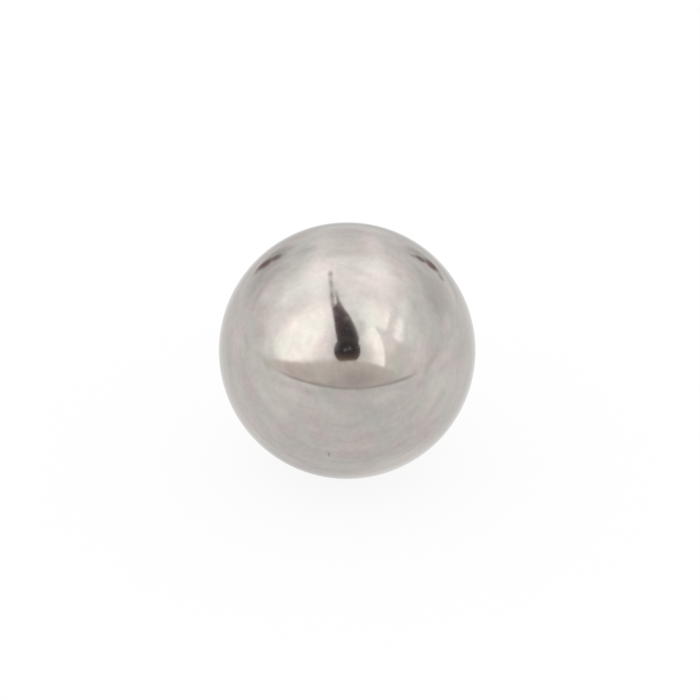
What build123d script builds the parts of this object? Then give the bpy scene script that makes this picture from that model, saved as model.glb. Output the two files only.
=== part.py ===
from build123d import *
import os

# A loose polished steel ball: one solid piece, with no hole, flat, seam or joint.
# The origin is the centre of the ball and +Z is up, so the ball's lowest point is on -Z.

# Driving dimension, in millimetres.
ball_diameter = 16.0


def make_ball():
    """The true sphere that forging, grinding and lapping leave, full round to the surface."""
    return Sphere(radius=ball_diameter / 2)


ball = make_ball()
ball.label = "ball"

os.makedirs("parts", exist_ok=True)
export_step(ball, "parts/ball.step")
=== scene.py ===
import math
import random

import bmesh
import bpy
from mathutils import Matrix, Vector


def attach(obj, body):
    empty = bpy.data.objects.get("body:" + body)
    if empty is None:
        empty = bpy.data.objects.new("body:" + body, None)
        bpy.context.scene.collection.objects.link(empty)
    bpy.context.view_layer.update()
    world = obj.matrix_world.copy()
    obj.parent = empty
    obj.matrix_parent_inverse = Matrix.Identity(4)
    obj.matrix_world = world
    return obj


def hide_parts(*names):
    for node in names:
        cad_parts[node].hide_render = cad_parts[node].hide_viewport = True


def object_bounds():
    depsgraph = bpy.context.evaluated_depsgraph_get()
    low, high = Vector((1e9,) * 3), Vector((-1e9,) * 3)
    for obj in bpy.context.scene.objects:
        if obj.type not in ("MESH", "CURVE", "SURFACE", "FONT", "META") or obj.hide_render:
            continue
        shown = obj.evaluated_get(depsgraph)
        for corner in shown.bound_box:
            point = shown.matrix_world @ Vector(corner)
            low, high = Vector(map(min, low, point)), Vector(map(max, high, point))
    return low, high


# A polished steel ball in a white cloth tent. Sizes are in metres, in the frame of the packed
# ball: its centre is the origin, +Z is up and the viewer stands on -Y, with +X to the right.

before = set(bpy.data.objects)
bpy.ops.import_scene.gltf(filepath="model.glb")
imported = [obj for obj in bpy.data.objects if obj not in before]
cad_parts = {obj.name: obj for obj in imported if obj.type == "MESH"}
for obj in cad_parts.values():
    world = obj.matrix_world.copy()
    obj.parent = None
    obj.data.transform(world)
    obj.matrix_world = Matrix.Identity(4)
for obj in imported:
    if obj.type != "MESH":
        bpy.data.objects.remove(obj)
cad_low, cad_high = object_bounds()
ball_radius = min(cad_high)
floor_height = cad_low.z

# The photograph's frame, and the round outline of the ball in it.
frame_pixels = 700
outline_radius_pixels = 128.36
outline_across_pixels = 347.18
outline_down_pixels = 350.6

# The camera looks down on the ball from close by, through a long lens.
camera_elevation = math.radians(30)
camera_distance = 0.23
sensor_width_mm = 36.0
nearest_seen = 0.01
farthest_seen = 10.0

tent_radius = 0.25
tent_subdivisions = 6
floor_radius = 3.0
floor_sides = 128

# Light levels: at a level of 1 a colour shows as it is written.
brightest_cloth = 2.0
white_floor = 0.88
floor_paint = 0.12
neutral = (1.0, 1.0, 1.0, 1.0)


class Value:
    """A number, colour, vector or surface in a shader; arithmetic on it adds Math nodes."""

    def __init__(self, shader, socket):
        self.shader = shader
        self.socket = socket

    def output(self, name):
        """Another output of the same node."""
        return Value(self.shader, self.socket.node.outputs[name])

    def __add__(self, other):
        return self.shader.maths("ADD", self, other)

    def __radd__(self, other):
        return self.shader.maths("ADD", other, self)

    def __sub__(self, other):
        return self.shader.maths("SUBTRACT", self, other)

    def __rsub__(self, other):
        return self.shader.maths("SUBTRACT", other, self)

    def __mul__(self, other):
        return self.shader.maths("MULTIPLY", self, other)

    def __rmul__(self, other):
        return self.shader.maths("MULTIPLY", other, self)

    def __truediv__(self, other):
        return self.shader.maths("DIVIDE", self, other)

    def __abs__(self):
        return self.shader.maths("ABSOLUTE", self)


class Shader:
    """The nodes of one material or of the world."""

    def __init__(self, owner):
        owner.use_nodes = True
        self.owner = owner
        self.tree = owner.node_tree
        self.tree.nodes.clear()

    def add(self, kind, settings=None, inputs=None, output=0):
        """Adds a node, with its settings first and then the values or links of its inputs."""
        node = self.tree.nodes.new(kind)
        for name, setting in (settings or {}).items():
            setattr(node, name, setting)
        for name, value in (inputs or {}).items():
            if isinstance(value, Value):
                self.tree.links.new(value.socket, node.inputs[name])
            else:
                node.inputs[name].default_value = value
        return Value(self, node.outputs[output]) if node.outputs else None

    def maths(self, operation, *values):
        return self.add("ShaderNodeMath", {"operation": operation}, dict(enumerate(values)))

    def vectors(self, operation, *values, output=0):
        settings = {"operation": operation}
        return self.add("ShaderNodeVectorMath", settings, dict(enumerate(values)), output)

    def larger(self, first, second):
        return self.maths("MAXIMUM", first, second)

    def smaller(self, first, second):
        return self.maths("MINIMUM", first, second)

    def hypotenuse(self, first, second):
        """The length of the long side over two sides that meet at a right angle."""
        return self.maths("SQRT", first * first + second * second)

    def dot(self, first, second):
        return self.vectors("DOT_PRODUCT", first, second, output="Value")

    def scale(self, vector, amount):
        """The vector or colour, times a number."""
        inputs = {0: vector, "Scale": amount}
        return self.add("ShaderNodeVectorMath", {"operation": "SCALE"}, inputs)

    def blend(self, first, second, share):
        """The first colour, turned into the second where share is 1."""
        inputs = {0: share, 6: first, 7: second}
        return self.add("ShaderNodeMix", {"data_type": "RGBA"}, inputs, output=2)

    def fade(self, value, start, end):
        """0 up to start, 1 from end on, with a smooth change between; start may be the larger."""
        inputs = {"Value": value, "From Min": start, "From Max": end}
        return self.add("ShaderNodeMapRange", {"interpolation_type": "SMOOTHSTEP"}, inputs)

    def place(self):
        """The point of the piece that is shaded, in metres."""
        return self.add("ShaderNodeTexCoord", output="Object")

    def noise(self, place, scale, detail=2.0, roughness=0.5):
        """Cloudy noise from about -1 to 1, with this many clouds to the unit of place."""
        inputs = {"Vector": place, "Scale": scale, "Detail": detail, "Roughness": roughness}
        return self.add("ShaderNodeTexNoise", inputs=inputs) * 2 - 1

    def emission(self, colour, strength=1.0):
        return self.add("ShaderNodeEmission", inputs={"Color": colour, "Strength": strength})

    def glow(self, level, colour=neutral):
        """A surface that shines by itself, at a level from 0 to brightest_cloth."""
        dark = self.emission(neutral, 0.0)
        bright = self.emission(colour, brightest_cloth)
        return self.mix(dark, bright, level / brightest_cloth)

    def mix(self, first, second, share):
        """The first surface, turned into the second where share is 1."""
        return self.add("ShaderNodeMixShader", inputs={0: share, 1: first, 2: second})

    def surface(self, surface):
        self.add("ShaderNodeOutputMaterial", inputs={"Surface": surface})
        return self.owner


def towards(start, end, share):
    """start, turned into end where share is 1."""
    return start + (end - start) * share


def link_object(name, mesh, material):
    piece = bpy.data.objects.new(name, mesh)
    piece.data.materials.append(material)
    bpy.context.scene.collection.objects.link(piece)
    return piece


def mesh_of(shape, name):
    """The finished mesh of a bmesh, smooth all over."""
    for face in shape.faces:
        face.smooth = True
    mesh = bpy.data.meshes.new(name)
    shape.to_mesh(mesh)
    shape.free()
    return mesh


# The ball's shape.

millimetre = 0.001


class Mark:
    """A small mark of use, pressed into the surface in a direction from the ball's centre."""

    def __init__(self, direction, half_width, half_length, depth, dullness):
        self.outwards = Vector(direction).normalized()
        self.place = self.outwards * ball_radius
        self.across = Vector((0, 0, 1)).cross(self.outwards).normalized()
        self.along = self.outwards.cross(self.across)
        self.half_width = half_width * millimetre
        self.half_length = half_length * millimetre
        self.depth = depth * millimetre
        self.dullness = dullness

    def strength(self, point):
        """1 in the middle of the mark, falling softly to 0 around it."""
        offset = point - self.place
        u = offset.dot(self.across) / self.half_width
        v = offset.dot(self.along) / self.half_length
        return math.exp(-u * u - v * v)


ball_subdivisions = 7

# Direction, half width, half length and depth in millimetres, and how dull the mark is.
marks = [
    Mark((-0.141, -0.910, -0.390), 0.050, 0.200, 0.014, 1.0),
    Mark((-0.150, -0.843, -0.517), 0.040, 0.060, 0.004, 0.5),
    Mark((-0.145, -0.949, -0.281), 0.040, 0.070, 0.003, 0.4),
    Mark((-0.156, -0.777, 0.611), 0.090, 0.070, 0.0010, 0.25),
]

# The faces around a mark are split a few times. The reach is in half sizes of the mark, and each
# split takes a smaller share of it.
mark_splits = 3
split_reach = 4
first_share = 1.6
share_drop = 0.3


def number_anew(shape):
    """Numbers the shape's points, edges and faces, so that they keep a fixed order."""
    for group in (shape.verts, shape.edges, shape.faces):
        group.index_update()


def refine_around(shape, mark):
    """Splits the faces around a mark, finer towards it, and keeps them on the ball."""
    reach = split_reach * max(mark.half_width, mark.half_length)
    for step in range(mark_splits):
        near = reach * (first_share - share_drop * step)
        edges = {
            edge
            for face in shape.faces
            if (face.calc_center_median() - mark.place).length < near
            for edge in face.edges
        }
        edges = sorted(edges, key=lambda edge: edge.index)
        bmesh.ops.subdivide_edges(shape, edges=edges, cuts=1, use_grid_fill=True)
        bmesh.ops.triangulate(shape, faces=[face for face in shape.faces if len(face.verts) > 3])
        number_anew(shape)
        for vertex in shape.verts:
            vertex.co = vertex.co.normalized() * ball_radius


def make_ball_mesh():
    """The ball's surface, fine enough for its mirror finish, with the marks pressed in."""
    shape = bmesh.new()
    bmesh.ops.create_icosphere(shape, subdivisions=ball_subdivisions, radius=ball_radius)
    number_anew(shape)
    for mark in marks:
        refine_around(shape, mark)
    wear = shape.verts.layers.float.new("wear")
    for vertex in shape.verts:
        point = vertex.co.copy()
        for mark in marks:
            strength = mark.strength(point)
            vertex.co -= mark.outwards * mark.depth * strength
            vertex[wear] = max(vertex[wear], mark.dullness * strength)
    return mesh_of(shape, "steel_ball")


# The ball's steel.

pink_steel = (0.533, 0.472, 0.449, 1.0)
green_steel = (0.502, 0.494, 0.454, 1.0)
green_share = 0.43
green_swing = 1.15
base_shade = 1.006
base_roughness = 0.085

# How fine each noise is, in clouds to the metre.
tint_scale = 550.0
cloud_scale = 300.0
mottle_scale = 800.0
grain_scale = 3000.0
pit_scale = 900.0

# A pit's radius and the radius of its dark middle, in distances between pits.
pit_radius = 0.040
pit_core = 0.015

# The axes round which a cloth has wiped the ball.
wiping_axis = (0.05, -0.86, 0.52)
rubbing_axis = (-0.14, -0.84, 0.53)

# Hairlines: width and reach are angles at the ball's centre.
hairline_seed = 12
hairline_count = 14
hairline_width = 0.0020
hairline_tilt = 0.4
shortest_reach = 0.10
longest_reach = 0.32

# The depth of pits and hairlines in the bump, in millimetres.
bump_depth = 0.002


def streaks(shader, place, axis, arcs, bands):
    """Noise drawn out round an axis of the ball, as a cloth leaves it: arcs long, bands narrow."""
    axis = Vector(axis).normalized()
    height = shader.dot(place, axis) / ball_radius
    on_axis = shader.scale(axis, height * ball_radius)
    around = shader.vectors("NORMALIZE", shader.vectors("SUBTRACT", place, on_axis))
    down = shader.scale(axis, shader.maths("ARCCOSINE", height) * bands)
    return shader.noise(shader.vectors("ADD", shader.scale(around, arcs), down), 1.0, 2.0)


def hairlines(shader, ray):
    """Fine scratches: short arcs in which random planes meet the ball."""
    dice = random.Random(hairline_seed)
    found = None
    for _ in range(hairline_count):
        middle = Vector([dice.gauss(0, 1) for _ in range(3)]).normalized()
        pole = middle.cross(Vector([dice.gauss(0, 1) for _ in range(3)])).normalized()
        pole = (pole + middle * dice.uniform(-hairline_tilt, hairline_tilt)).normalized()
        reach = dice.uniform(shortest_reach, longest_reach)
        across = abs(shader.dot(ray, pole) - pole.dot(middle))
        line = shader.fade(across, hairline_width, 0.0)
        line = line * shader.fade(shader.dot(ray, middle), math.cos(reach), math.cos(0.6 * reach))
        found = line if found is None else shader.larger(found, line)
    return found


def pits(shader, place):
    """Pin-point pits, strewn over the whole ball."""
    cells = {"Vector": place, "Scale": pit_scale}
    from_middle = shader.add("ShaderNodeTexVoronoi", inputs=cells, output="Distance")
    return shader.fade(from_middle, pit_radius, pit_core)


def polished_steel():
    """Ball steel with its polish a little clouded by wiping, and hairlines, pits and marks."""
    shader = Shader(bpy.data.materials.new("polished_steel"))
    place = shader.place()
    ray = shader.vectors("NORMALIZE", place)
    wear = shader.add("ShaderNodeAttribute", {"attribute_name": "wear"}, output="Fac")
    tint = shader.noise(place, tint_scale, 1.0)
    cloud = shader.noise(place, cloud_scale)
    mottle = shader.noise(place, mottle_scale, 3.0, 0.6)
    grain = shader.noise(place, grain_scale)
    wiped = streaks(shader, place, wiping_axis, 1.8, 10.0)
    rubbed = streaks(shader, place, rubbing_axis, 1.7, 17.0)
    rubbed = rubbed * shader.fade(cloud, 0.25, -0.25)
    scratch = hairlines(shader, ray)
    pit = pits(shader, place)

    shade = base_shade + 0.085 * mottle + 0.10 * grain - 0.12 * wiped - 0.13 * rubbed
    shade = shade - 0.04 * scratch - 0.15 * pit - 0.45 * wear
    tinted = shader.blend(pink_steel, green_steel, green_share + green_swing * tint)
    colour = shader.scale(tinted, shade)
    roughness = base_roughness + 0.02 * cloud + 0.03 * wiped + 0.02 * rubbed
    roughness = roughness + 0.04 * scratch + 0.2 * pit + 0.3 * wear
    depth = 0 - 0.3 * scratch - pit
    bump = shader.add(
        "ShaderNodeBump",
        inputs={"Strength": 1.0, "Distance": bump_depth * millimetre, "Height": depth},
    )
    surface = shader.add(
        "ShaderNodeBsdfPrincipled",
        inputs={"Base Color": colour, "Metallic": 1.0, "Roughness": roughness, "Normal": bump},
    )
    return shader.surface(surface)


# The light tent.

class Plan:
    """Where a point of the tent lies when the dome is drawn as a round plan.

    The roof's middle is 0, and what is level with the ball's centre is 1 from it. Right and
    front are measured along +X and -Y, and out is the distance from the roof's middle.
    """

    def __init__(self, shader):
        self.shader = shader
        self.ray = shader.vectors("NORMALIZE", shader.place())
        x = shader.add("ShaderNodeSeparateXYZ", inputs={0: self.ray})
        above = 1 + x.output("Z")
        self.right = x / above
        self.front = 0 - x.output("Y") / above
        self.out = shader.hypotenuse(self.right, self.front)

    def fade(self, value, start, end):
        return self.shader.fade(value, start, end)

    def distance(self, right, front):
        """How far the point is from another on the plan."""
        return self.shader.hypotenuse(self.right - right, self.front - front)

    def oval(self, right, front, half_width, half_depth, turn=0.0, core=0.0):
        """A soft oval patch: 1 in its core and 0 at its edge, turned by some degrees."""
        cosine = math.cos(math.radians(turn))
        sine = math.sin(math.radians(turn))
        a = self.right - right
        b = self.front - front
        u = (a * cosine + b * sine) / half_width
        v = (b * cosine - a * sine) / half_depth
        return self.fade(self.shader.hypotenuse(u, v), 1.0, core)

    def seam(self, line, half_width):
        """A soft line, where the value named line is 0."""
        return self.fade(abs(line), half_width, 0.25 * half_width)


lamp_cream = (0.99, 1.0, 0.973, 1.0)
# Tan: the warm tint given to the painted light of the dim flap, the shaded floor seam and the
# lower right corner.
shade_tan = (1.0, 0.955, 0.915, 1.0)

# Light levels of the tent's parts.
wall_level = 0.93
roof_gain = 0.38
left_window_level = 1.73
right_window_level = 1.74
upper_window_level = 1.62
side_window_level = 1.70
roof_seam_level = 1.22
fold_level = 1.25
flap_level = 0.70
floor_line_level = 0.50

crease_scale = 5.0
weave_scale = 22.0

# Soft changes of the cloth's light: how much, then the oval's middle and half sizes on the plan,
# and its turn in degrees.
wall_patches = [
    (-0.20, -0.52, -0.60, 0.30, 0.38, 38),
    (-0.18, 0.62, -0.40, 0.34, 0.50, -30),
    (0.17, -0.14, -0.50, 0.10, 0.32, 8),
    (0.17, 0.14, -0.50, 0.10, 0.32, -8),
    (-0.08, 0.00, -0.88, 0.14, 0.30, 0),
    (-0.20, -0.22, -1.00, 0.20, 0.35, 15),
    (-0.16, 0.24, -1.00, 0.20, 0.35, -15),
    (-0.28, -0.36, -0.80, 0.10, 0.26, -16),
    (-0.28, 0.36, -0.80, 0.10, 0.26, 16),
    (-0.12, -0.50, -0.86, 0.12, 0.12, 0),
    (-0.16, 0.50, -0.86, 0.12, 0.12, 0),
    (-0.22, -0.21, -0.47, 0.14, 0.11, 0),
    (-0.12, -0.40, -0.40, 0.10, 0.10, 0),
    (0.18, -0.57, -0.25, 0.13, 0.20, 0),
    (0.22, -0.43, -0.06, 0.16, 0.27, 0),
    (-0.10, -0.53, 0.00, 0.07, 0.06, 0),
    (-0.18, -0.79, 0.01, 0.16, 0.20, 0),
    (0.34, -0.66, 0.16, 0.42, 0.40, 0),
    (0.25, -0.23, 0.55, 0.14, 0.22, 0),
    (0.16, 0.85, -0.29, 0.14, 0.22, 0),
    (0.20, 0.45, 0.06, 0.10, 0.24, 0),
    (-0.12, 0.48, -0.02, 0.08, 0.12, 0),
    (-0.10, 0.365, 0.00, 0.05, 0.08, 0),
    (0.12, 0.75, 0.35, 0.30, 0.40, 0),
    (0.22, 0.56, 0.25, 0.14, 0.20, 0),
    (0.22, 0.39, 0.27, 0.08, 0.12, 0),
]
roof_patches = [
    (0.28, -0.19, -0.10, 0.17, 0.30, 0),
    (0.15, -0.125, -0.125, 0.07, 0.07, 0),
    (-0.12, -0.23, -0.24, 0.08, 0.08, 0),
    (-0.20, 0.00, -0.31, 0.28, 0.10, 0),
    (0.22, 0.17, -0.16, 0.15, 0.26, 0),
    (0.16, 0.24, -0.10, 0.12, 0.15, 0),
    (0.09, 0.32, -0.32, 0.10, 0.10, 0),
    (0.06, 0.25, 0.16, 0.22, 0.22, 0),
    (-0.16, -0.14, 0.17, 0.08, 0.14, 0),
    (-0.12, -0.085, 0.00, 0.04, 0.06, 0),
    (-0.20, 0.10, 0.34, 0.07, 0.16, -30),
    (-0.12, 0.15, 0.32, 0.09, 0.07, 0),
    (0.12, 0.10, 0.36, 0.035, 0.06, 0),
]


def wall_and_roof_light(plan):
    """The cloth's plain light: dimmer in the back corners, brighter under the lamps."""
    level = wall_level + roof_gain * plan.fade(plan.out, 0.52, 0.28)
    level = level + 0.07 * plan.fade(abs(plan.out - 0.52), 0.12, 0.03)
    for gain, *oval in wall_patches + roof_patches:
        level = level + gain * plan.oval(*oval)
    return level


def cloth_texture(plan):
    """The cloth's creases and thin places, as a factor on its light."""
    broad = plan.shader.noise(plan.ray, crease_scale, 3.0)
    fine = plan.shader.noise(plan.ray, weave_scale, 2.0)
    return 1 + 0.045 * broad + 0.015 * fine


def left_window(plan):
    """The front left panel, which a lamp behind it lights up."""
    inner = plan.fade(plan.front + 0.62 * plan.right, -0.33, -0.07)
    lower = plan.fade(plan.front, 0.02, 0.24)
    starts_at = -0.02 + 0.04 * plan.fade(plan.front, 0.34, 0.50)
    full_from = -0.17 - 0.29 * plan.fade(plan.front, 0.34, 0.58)
    by_slot = plan.fade(plan.right + 0.15 * plan.front, starts_at, full_from)
    return inner * lower * by_slot * plan.fade(plan.right, -0.86, -0.68)


def right_bow(plan):
    """How far the point is beyond the bowed seam that ends the front right panel."""
    return plan.distance(-0.517, 1.009) - 1.027


def right_window(plan, bow):
    """The front right panel, which is lit as well, up to the bowed seam."""
    ends = plan.fade(plan.front, 0.42, 0.34) + plan.fade(plan.front, 0.50, 0.70)
    by_seam = plan.fade(bow + 0.012 * ends, 0.010, -0.010)
    wide = plan.fade(plan.front, 0.42, 0.66)
    by_slot = plan.fade(plan.right, 0.10 + 0.04 * wide, 0.23 + 0.22 * wide)
    return by_seam * by_slot * plan.fade(plan.front, 0.24, 0.36)


def upper_right_window(plan):
    """The lit cloth above the fold, up to the roof's seam."""
    sides = plan.fade(plan.right, 0.356, 0.322) * plan.fade(plan.right, 0.06, 0.24)
    lowest = 0.325 + 0.15 * (plan.right - 0.25)
    lower = plan.fade(plan.front - lowest, 0.025, -0.020)
    return sides * lower * plan.fade(plan.front, 0.08, 0.22)


def roof_seam(plan):
    """The upright seam at the right, where two pieces of the roof meet."""
    ends = plan.fade(plan.front, -0.30, -0.05) * plan.fade(plan.front, 0.34, 0.16)
    return plan.seam(plan.right - 0.367, 0.034) * ends


def side_window(plan):
    """The small lit patch beyond the roof's seam."""
    peak = plan.oval(0.455, 0.245, 0.070, 0.140, -20, core=0.15)
    foot = plan.oval(0.470, 0.320, 0.100, 0.075, 0, core=0.20)
    return plan.shader.larger(peak, 0.78 * foot) * plan.fade(plan.right, 0.380, 0.412)


def fold(plan, bow):
    """The dimmer fold of cloth beyond the bowed seam."""
    across = plan.fade(bow, -0.01, 0.015) * plan.fade(bow, 0.17, 0.06)
    return across * plan.fade(plan.front, 0.30, 0.38) * plan.fade(plan.front, 0.75, 0.55)


def flap(plan):
    """The low flap that closes the tent's front."""
    far_left = plan.fade(plan.right, -0.45, -0.62)
    left_top = plan.distance(-0.129, -0.266) - 0.931 - 0.006 * far_left
    right_top = plan.front - 0.684
    top = towards(left_top, right_top, plan.fade(plan.right, -0.25, 0.0))
    soft = 0.012 + 0.042 * plan.fade(plan.right, 0.05, -0.30) - 0.030 * far_left
    ends = plan.fade(plan.right, 0.80, 0.50) * plan.fade(plan.front, 0.10, 0.34)
    return plan.fade(top, 0 - soft, soft) * ends


def flap_light(plan):
    """The flap is dimmest near the floor and in front of the viewer."""
    level = flap_level + 0.16 * plan.fade(plan.out, 0.98, 0.74)
    level = level - 0.16 * plan.oval(0.10, 0.86, 0.34, 0.26)
    level = level + 0.10 * plan.oval(-0.45, 0.86, 0.35, 0.20)
    level = level + 0.08 * plan.fade(plan.right, 0.30, 0.55)
    level = level + 0.12 * plan.fade(plan.right, -0.45, -0.65)
    return level + 0.10 * plan.fade(plan.right, -0.70, -0.90)


def floor_seam(plan):
    """The shaded line where the flap meets the floor, and its faint run up both sides."""
    line = 1.052 - 0.032 * plan.fade(plan.right, 0.15, -0.90)
    crisp = plan.fade(abs(plan.out - line), 0.028, 0.006) * plan.fade(plan.front, 0.42, 0.74)
    on_right = plan.fade(plan.right, -0.5, 0.5)
    side_line = 0.94 + 0.27 * plan.front + 0.025 * on_right
    sides = plan.seam(plan.out - side_line, 0.06) * plan.fade(plan.front, 0.55, 0.30)
    sides = sides * plan.fade(plan.front + 0.16 * on_right, 0.10, 0.26) * (0.11 + 0.07 * on_right)
    return plan.shader.larger(crisp, sides)


# The slot in the front that the camera looks through.

slot_top = (0.165, 0.130, 0.138, 1.0)
slot_deep = (0.080, 0.072, 0.076, 1.0)
slot_red = (0.17, 0.095, 0.100, 1.0)
slot_pale = (0.36, 0.33, 0.32, 1.0)
slot_right_end = 0.110
stitch_spacing = 0.10


def slot_edges(plan):
    """How far the point is inside the slot from its left and its right edge."""
    front = plan.front
    left = towards(-0.032 - 0.30 * front, 0.070 * front - 0.1265, plan.fade(front, 0.155, 0.195))
    down = front - 0.231
    right = plan.shader.larger(0.48 * down, (0.62 - 0.60 * down) * down) + 0.001
    right = right - 0.008 * plan.fade(front, 0.25, 0.20)
    return plan.right - left, plan.shader.smaller(right, slot_right_end) - plan.right


def slot(plan, from_left, from_right):
    """The dark wedge of the slot, and the seams that run on from its top."""
    front = plan.front
    sides = plan.fade(from_left, -0.005, 0.006) * plan.fade(from_right, -0.005, 0.006)
    wedge = sides * plan.fade(front, 0.07, 0.13) * plan.fade(front, 0.66, 0.60)
    stitches = plan.shader.maths("COSINE", (front + 0.018) * (math.tau / stitch_spacing))
    left_run = 0.56 + 0.15 * stitches + 0.22 * plan.fade(front, 0.00, 0.12)
    left_run = left_run * plan.fade(front, -0.165, -0.11)
    left_line = plan.seam(plan.right + 0.105, 0.022) * left_run * plan.fade(front, 0.20, 0.16)
    right_run = 0.95 * plan.fade(front, 0.00, 0.115) * plan.fade(front, 0.19, 0.15)
    right_line = plan.seam(plan.right + 0.0835 - 0.135 * front, 0.016) * right_run
    return plan.shader.larger(wedge, plan.shader.larger(left_line, right_line))


def slot_colour(plan, from_right):
    """What shows in the slot: dark, with a reddish left side and a paler top and right edge."""
    shader = plan.shader
    colour = shader.blend(slot_top, slot_deep, plan.fade(plan.front, 0.22, 0.40))
    colour = shader.blend(colour, slot_red, 0.8 * plan.oval(-0.075, 0.38, 0.035, 0.13))
    colour = shader.blend(colour, slot_pale, 0.55 * plan.oval(-0.005, 0.285, 0.040, 0.025))
    colour = shader.blend(colour, slot_pale, 0.45 * plan.fade(from_right, 0.055, 0.0))
    colour = shader.blend(colour, slot_pale, 0.8 * plan.fade(plan.front, 0.20, 0.15))
    colour = shader.blend(colour, slot_pale, 0.4 * plan.oval(-0.100, 0.225, 0.030, 0.060))
    return shader.scale(colour, 1 + 0.6 * shader.noise(plan.ray, 16.0))


# Gaps between the back panels: how open they are, then the oval's middle and half sizes on the
# plan, and its turn in degrees.
back_gaps = [
    (1.0, -0.450, -0.772, 0.076, 0.155, -7),
    (0.9, -0.388, -0.684, 0.050, 0.106, -8),
    (0.5, -0.514, -0.790, 0.026, 0.060, -8),
    (0.3, -0.350, -0.620, 0.030, 0.055, -8),
    (0.9, 0.402, -0.702, 0.050, 0.092, 12),
    (0.5, 0.362, -0.640, 0.024, 0.050, 20),
    (1.0, 0.458, -0.798, 0.076, 0.140, -4),
    (0.55, 0.546, -0.775, 0.044, 0.073, -28),
]
gap_core = 0.3
dim_back = (0.26, 0.195, 0.205, 1.0)


def back_openings(plan):
    """The narrow upright gaps between the panels at the back."""
    openings = 0.0
    for share, *oval in back_gaps:
        openings = plan.shader.larger(openings, share * plan.oval(*oval, core=gap_core))
    return openings * (1 + 0.35 * plan.shader.noise(plan.ray, 11.0))


def tent_cloth():
    """White cloth lit from outside, with its seams, flap and openings."""
    shader = Shader(bpy.data.materials.new("tent_cloth"))
    shader.owner.cycles.emission_sampling = "NONE"
    plan = Plan(shader)
    bow = right_bow(plan)
    left_lit = left_window(plan)
    right_lit = right_window(plan, bow)
    upper_lit = upper_right_window(plan)
    side_lit = side_window(plan)
    left_level = left_window_level + 0.16 * plan.oval(-0.45, 0.21, 0.14, 0.13)
    right_level = right_window_level + 0.14 * plan.oval(0.27, 0.46, 0.09, 0.10)
    upper_level = upper_window_level + 0.13 * plan.oval(0.33, 0.26, 0.06, 0.11)
    far_fold_level = fold_level - 0.25 * plan.fade(plan.front, 0.38, 0.62)

    level = wall_and_roof_light(plan)
    level = towards(level, left_level, left_lit)
    level = towards(level, right_level, right_lit)
    level = towards(level, upper_level, upper_lit)
    level = towards(level, roof_seam_level, 0.4 * roof_seam(plan))
    level = towards(level, far_fold_level, fold(plan, bow))
    level = towards(level, side_window_level, side_lit)
    level = level * cloth_texture(plan)
    closed = flap(plan)
    seam = floor_seam(plan)
    level = towards(level, flap_light(plan), closed)
    level = towards(level, floor_line_level, seam)

    lit = shader.larger(shader.larger(left_lit, right_lit), shader.larger(upper_lit, side_lit))
    right_corner = plan.fade(plan.right, 0.36, 0.44) * plan.fade(plan.front, 0.30, 0.45)
    # Painted shade of the flap and the floor seam, and the lower right corner, are tinted tan.
    tan = shader.larger(shader.larger(closed, seam), 0.6 * right_corner)
    colour = shader.blend(shader.blend(neutral, lamp_cream, lit), shade_tan, tan)
    from_left, from_right = slot_edges(plan)
    room = shader.emission(slot_colour(plan, from_right))
    cloth = shader.mix(shader.glow(level, colour), shader.emission(dim_back), back_openings(plan))
    return shader.surface(shader.mix(cloth, room, slot(plan, from_left, from_right)))


def only_mirrored(piece):
    """The piece is only seen mirrored in the ball: it hides nothing and casts no shadow."""
    piece.visible_camera = False
    piece.visible_diffuse = False
    piece.visible_transmission = False
    piece.visible_volume_scatter = False
    piece.visible_shadow = False


def everything(shape):
    return shape.verts[:] + shape.edges[:] + shape.faces[:]


def make_tent():
    """A dome round the ball, cut off at the floor, with its faces turned inwards."""
    shape = bmesh.new()
    bmesh.ops.create_icosphere(shape, subdivisions=tent_subdivisions, radius=tent_radius)
    bmesh.ops.bisect_plane(
        shape,
        geom=everything(shape),
        plane_co=(0, 0, floor_height),
        plane_no=(0, 0, -1),
        clear_outer=True,
    )
    bmesh.ops.reverse_faces(shape, faces=shape.faces)
    only_mirrored(link_object("light_tent", mesh_of(shape, "light_tent"), tent_cloth()))


# The front of the camera's lens, behind the slot.

lens_distance = 0.17
lens_half_angle = math.radians(11.5)
lens_radius = lens_distance * math.tan(lens_half_angle)
lens_steps = 96

# The lens's section from its middle outwards: radius and depth, in lens radii.
lens_section = [
    (0.0, 0.02),
    (0.3, 0.035),
    (0.55, 0.08),
    (0.62, 0.11),
    (0.80, 0.03),
    (0.86, 0.0),
    (0.97, 0.0),
    (1.0, 0.03),
]

# What lies below this line is hidden by the flap: its drop, in lens radii, and its slope.
lens_cut = 0.785
lens_cut_slope = 0.075

# The middles of the two painted glints in the glass, in lens radii, and their size.
lens_glints = [(-0.14, 0.05), (0.18, 0.16)]
glint_radius = 0.15
glint_core = 0.03

# The lens's glow: its own near-black glass and rim, then painted reflections, a painted edge
# highlight and the grey of the painted glints.
glass_black = (0.058, 0.050, 0.054, 1.0)
rim_black = (0.095, 0.078, 0.080, 1.0)
violet_reflection = (0.170, 0.145, 0.165, 1.0)
brown_reflection = (0.150, 0.105, 0.085, 1.0)
pale_edge_highlight = (0.330, 0.270, 0.210, 1.0)
glint = (0.30, 0.31, 0.33, 1.0)


def view_axes():
    """The directions right, up and towards the camera, as the camera stands."""
    right = Vector((1, 0, 0))
    back = Vector((0, -math.cos(camera_elevation), math.sin(camera_elevation)))
    return right, back.cross(right), back


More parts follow.
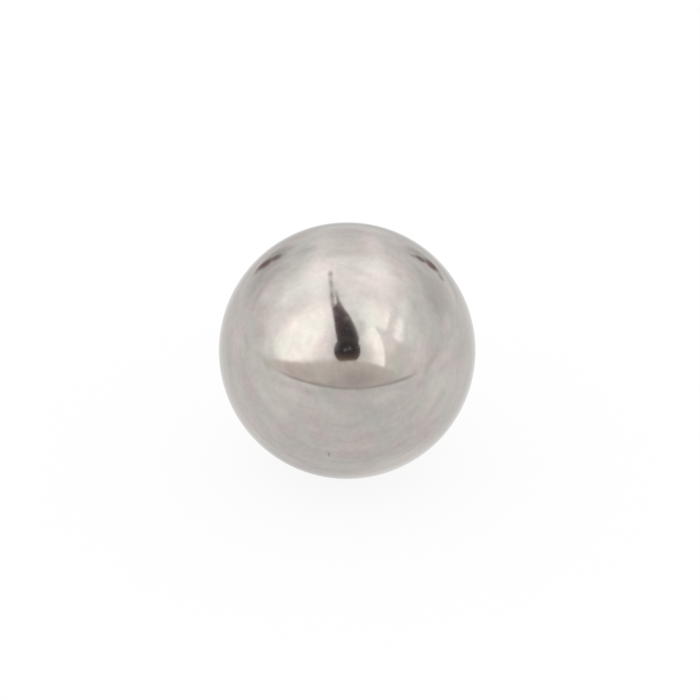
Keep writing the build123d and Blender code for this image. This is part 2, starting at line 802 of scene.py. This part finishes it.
def lens_black():
    """Near-black glass in a dark rim, all painted as glow: a painted brownish reflection below, a
    painted violet reflection at the upper left, a painted highlight on the lowest edge and two
    painted glints.
    """
    shader = Shader(bpy.data.materials.new("lens_black"))
    shader.owner.cycles.emission_sampling = "NONE"
    right, up, _ = view_axes()
    across = shader.dot(shader.place(), right) / lens_radius
    height = shader.dot(shader.place(), up) / lens_radius
    out = shader.hypotenuse(across, height)
    colour = shader.blend(glass_black, rim_black, shader.fade(out, 0.55, 0.80))
    # A painted brownish reflection on the lower part, then a pale painted highlight on the lowest
    # edge.
    colour = shader.blend(colour, brown_reflection, shader.fade(height, -0.15, -0.60))
    colour = shader.blend(colour, pale_edge_highlight, shader.fade(height, -0.58, -0.80))
    # A painted violet reflection at the upper left.
    left_side = shader.fade(across, -0.45, -0.80) * shader.fade(height, -0.10, 0.20)
    colour = shader.blend(colour, violet_reflection, left_side)
    # Two painted glints in the glass.
    for glint_across, glint_height in lens_glints:
        from_glint = shader.hypotenuse(across - glint_across, height - glint_height)
        spot = shader.fade(from_glint, glint_radius, glint_core)
        colour = shader.blend(colour, glint, spot)
    return shader.surface(shader.emission(colour))


def make_lens():
    """The lens front, turned about its axis, with its lowest part behind the flap."""
    right, up, back = view_axes()
    shape = bmesh.new()
    points = [shape.verts.new((radius, 0, -depth)) for radius, depth in lens_section]
    edges = [shape.edges.new(pair) for pair in zip(points, points[1:])]
    bmesh.ops.spin(
        shape,
        geom=points + edges,
        cent=(0, 0, 0),
        axis=(0, 0, 1),
        angle=math.tau,
        steps=lens_steps,
        use_merge=True,
    )
    bmesh.ops.bisect_plane(
        shape,
        geom=everything(shape),
        plane_co=(0, -lens_cut, 0),
        plane_no=(lens_cut_slope, -1, 0),
        clear_outer=True,
    )
    for vertex in shape.verts:
        x, y, z = vertex.co * lens_radius
        vertex.co = right * x + up * y + back * (lens_distance - z)
    bmesh.ops.recalc_face_normals(shape, faces=shape.faces)
    only_mirrored(link_object("lens_front", mesh_of(shape, "lens_front"), lens_black()))


# The floor, the world and the camera.

# Painted light levels of the floor, as the ball mirrors it.
floor_level = 0.745
painted_side_light = 0.12
painted_back_shade = 0.14
floor_seam_level = 0.40

# Soft painted light and shade around the ball: how much, then the middle and the radius in metres.
painted_floor_patches = [
    (0.12, -0.026, -0.018, 0.034),
    (0.14, 0.028, -0.006, 0.026),
    (-0.06, 0.000, 0.000, 0.009),
    (0.10, 0.0035, -0.003, 0.006),
    (-0.05, -0.004, -0.002, 0.005),
    (0.10, 0.024, -0.036, 0.022),
    (0.08, -0.034, -0.030, 0.020),
]


def white_floor_material():
    """Plain white with the ball's shadow to the camera; the ball mirrors its painted light and
    shade and its seam.
    """
    shader = Shader(bpy.data.materials.new("white_floor"))
    shader.owner.cycles.emission_sampling = "NONE"
    direct = shader.add("ShaderNodeLightPath", output="Is Camera Ray")
    glossy = direct.output("Is Glossy Ray")
    seen = direct + glossy + direct.output("Is Transmission Ray")
    x = shader.add("ShaderNodeSeparateXYZ", inputs={0: shader.place()})
    y = x.output("Y")
    # Painted shade behind the ball and painted light at its sides, which only the ball's mirror
    # shows.
    behind = shader.fade(y, 0.025, 0.085) * shader.fade(abs(x), 0.22, 0.03)
    level = floor_level + painted_side_light * shader.fade(abs(x), 0.020, 0.080)
    level = level - painted_back_shade * behind
    for gain, middle_x, middle_y, radius in painted_floor_patches:
        from_middle = shader.hypotenuse(x - middle_x, y - middle_y)
        level = level + gain * shader.fade(from_middle, radius, 0.0)
    seam = floor_seam(Plan(shader))
    level = towards(level, floor_seam_level, seam)
    level = towards(white_floor, level, glossy)
    # The shaded seam, tinted tan where the ball mirrors it.
    colour = shader.blend(neutral, shade_tan, seam * glossy)
    grey = (floor_paint, floor_paint, floor_paint, 1.0)
    paint = shader.add("ShaderNodeBsdfDiffuse", inputs={"Color": grey})
    glow = shader.glow(level * seen, colour)
    return shader.surface(shader.add("ShaderNodeAddShader", inputs={0: paint, 1: glow}))


def make_floor():
    shape = bmesh.new()
    bmesh.ops.create_circle(shape, cap_ends=True, segments=floor_sides, radius=floor_radius)
    bmesh.ops.translate(shape, verts=shape.verts, vec=(0, 0, floor_height))
    link_object("floor", mesh_of(shape, "floor"), white_floor_material())


def light_world():
    """Plain white beyond the floor."""
    world = bpy.data.worlds.new("studio")
    bpy.context.scene.world = world
    shader = Shader(world)
    white = shader.add("ShaderNodeBackground", inputs={"Color": neutral, "Strength": 1.0})
    shader.add("ShaderNodeOutputWorld", inputs={"Surface": white})


def make_camera():
    """Places the ball's outline where the photograph has it."""
    right, up, back = view_axes()
    pixel = ball_radius / outline_radius_pixels
    aim = right * (frame_pixels / 2 - outline_across_pixels) * pixel
    aim += up * (outline_down_pixels - frame_pixels / 2) * pixel
    camera = bpy.data.objects.new("camera", bpy.data.cameras.new("camera"))
    camera.location = back * camera_distance
    camera.rotation_euler = (aim - camera.location).to_track_quat("-Z", "Y").to_euler()
    outline_tangent = math.tan(math.asin(ball_radius / camera_distance))
    outline_on_sensor = sensor_width_mm * outline_radius_pixels / frame_pixels
    camera.data.sensor_width = sensor_width_mm
    camera.data.lens = outline_on_sensor / outline_tangent
    camera.data.clip_start = nearest_seen
    camera.data.clip_end = farthest_seen
    bpy.context.scene.collection.objects.link(camera)
    bpy.context.scene.camera = camera


make_camera()
light_world()
make_floor()
make_tent()
make_lens()

steel_ball = link_object("steel_ball", make_ball_mesh(), polished_steel())
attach(steel_ball, "root")
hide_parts("ball")

bpy.context.scene.view_settings.view_transform = "Standard"
